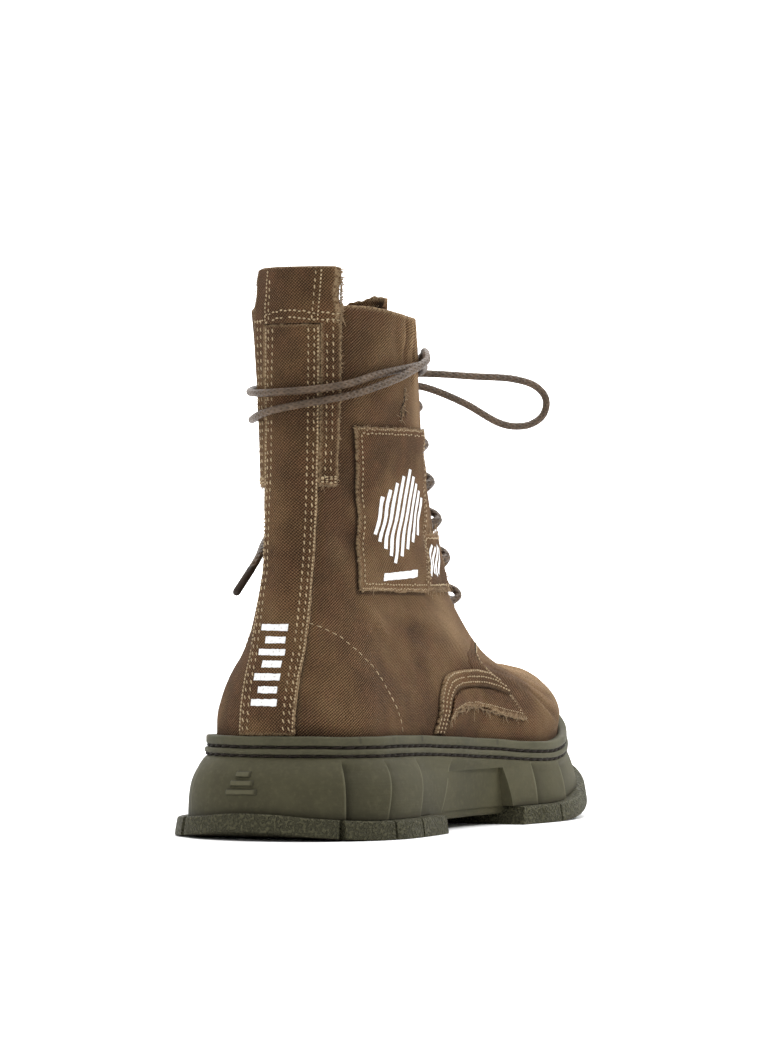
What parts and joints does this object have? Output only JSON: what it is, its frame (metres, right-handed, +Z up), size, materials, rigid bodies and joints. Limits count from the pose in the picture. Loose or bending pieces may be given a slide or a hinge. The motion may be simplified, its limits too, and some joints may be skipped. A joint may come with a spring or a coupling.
{
  "type": "lace-up canvas boot",
  "caption": "Worn brown canvas lace-up ankle boot for the right foot, with an olive rubber platform sole, lugged edges, a pull tab and a lace wrapped round the shaft.",
  "frame": {"origin": "bottom centre of the boot, on the floor it stands on", "axes": "+X from heel to toe, +Y to the inner side of the foot, +Z up"},
  "size_m": [0.306, 0.1292, 0.2575],
  "materials": {
    "canvas": "matte worn twill canvas with light stitching",
    "lining": "matte woven lining",
    "rubber": "matte olive rubber",
    "eyelet_metal": "dark antique, worn",
    "lace": "satin round braid"
  },
  "bodies": {
    "root": {"upper": "canvas", "tongue": "canvas", "pull_tab": "canvas", "backstay": "canvas", "side_patch": "canvas", "facing_patch": "canvas", "quarter_band_outer": "canvas", "quarter_flap_outer": "canvas", "quarter_band_inner": "canvas", "quarter_flap_inner": "canvas", "insole": "lining", "welt": "rubber", "midsole": "rubber", "outsole_heel": "rubber", "outsole_forepart": "rubber", "eyelet_outer_1": "eyelet_metal", "eyelet_inner_1": "eyelet_metal", "eyelet_outer_2": "eyelet_metal", "eyelet_inner_2": "eyelet_metal", "eyelet_outer_3": "eyelet_metal", "eyelet_inner_3": "eyelet_metal", "eyelet_outer_4": "eyelet_metal", "eyelet_inner_4": "eyelet_metal", "eyelet_outer_5": "eyelet_metal", "eyelet_inner_5": "eyelet_metal", "eyelet_outer_6": "eyelet_metal", "eyelet_inner_6": "eyelet_metal", "eyelet_outer_7": "eyelet_metal", "eyelet_inner_7": "eyelet_metal", "eyelet_outer_8": "eyelet_metal", "eyelet_inner_8": "eyelet_metal", "lace_crossing_1": "lace", "lace_crossing_2": "lace", "lace_crossing_3": "lace", "lace_crossing_4": "lace", "lace_crossing_5": "lace", "lace_crossing_6": "lace", "lace_crossing_7": "lace", "lace_knot": "lace", "lace_wrap_upper": "lace", "lace_wrap_lower": "lace", "lace_loop_outer": "lace", "lace_loop_inner": "lace", "lace_end_inner": "lace", "lace_end_front": "lace"}
  },
  "joints": []
}
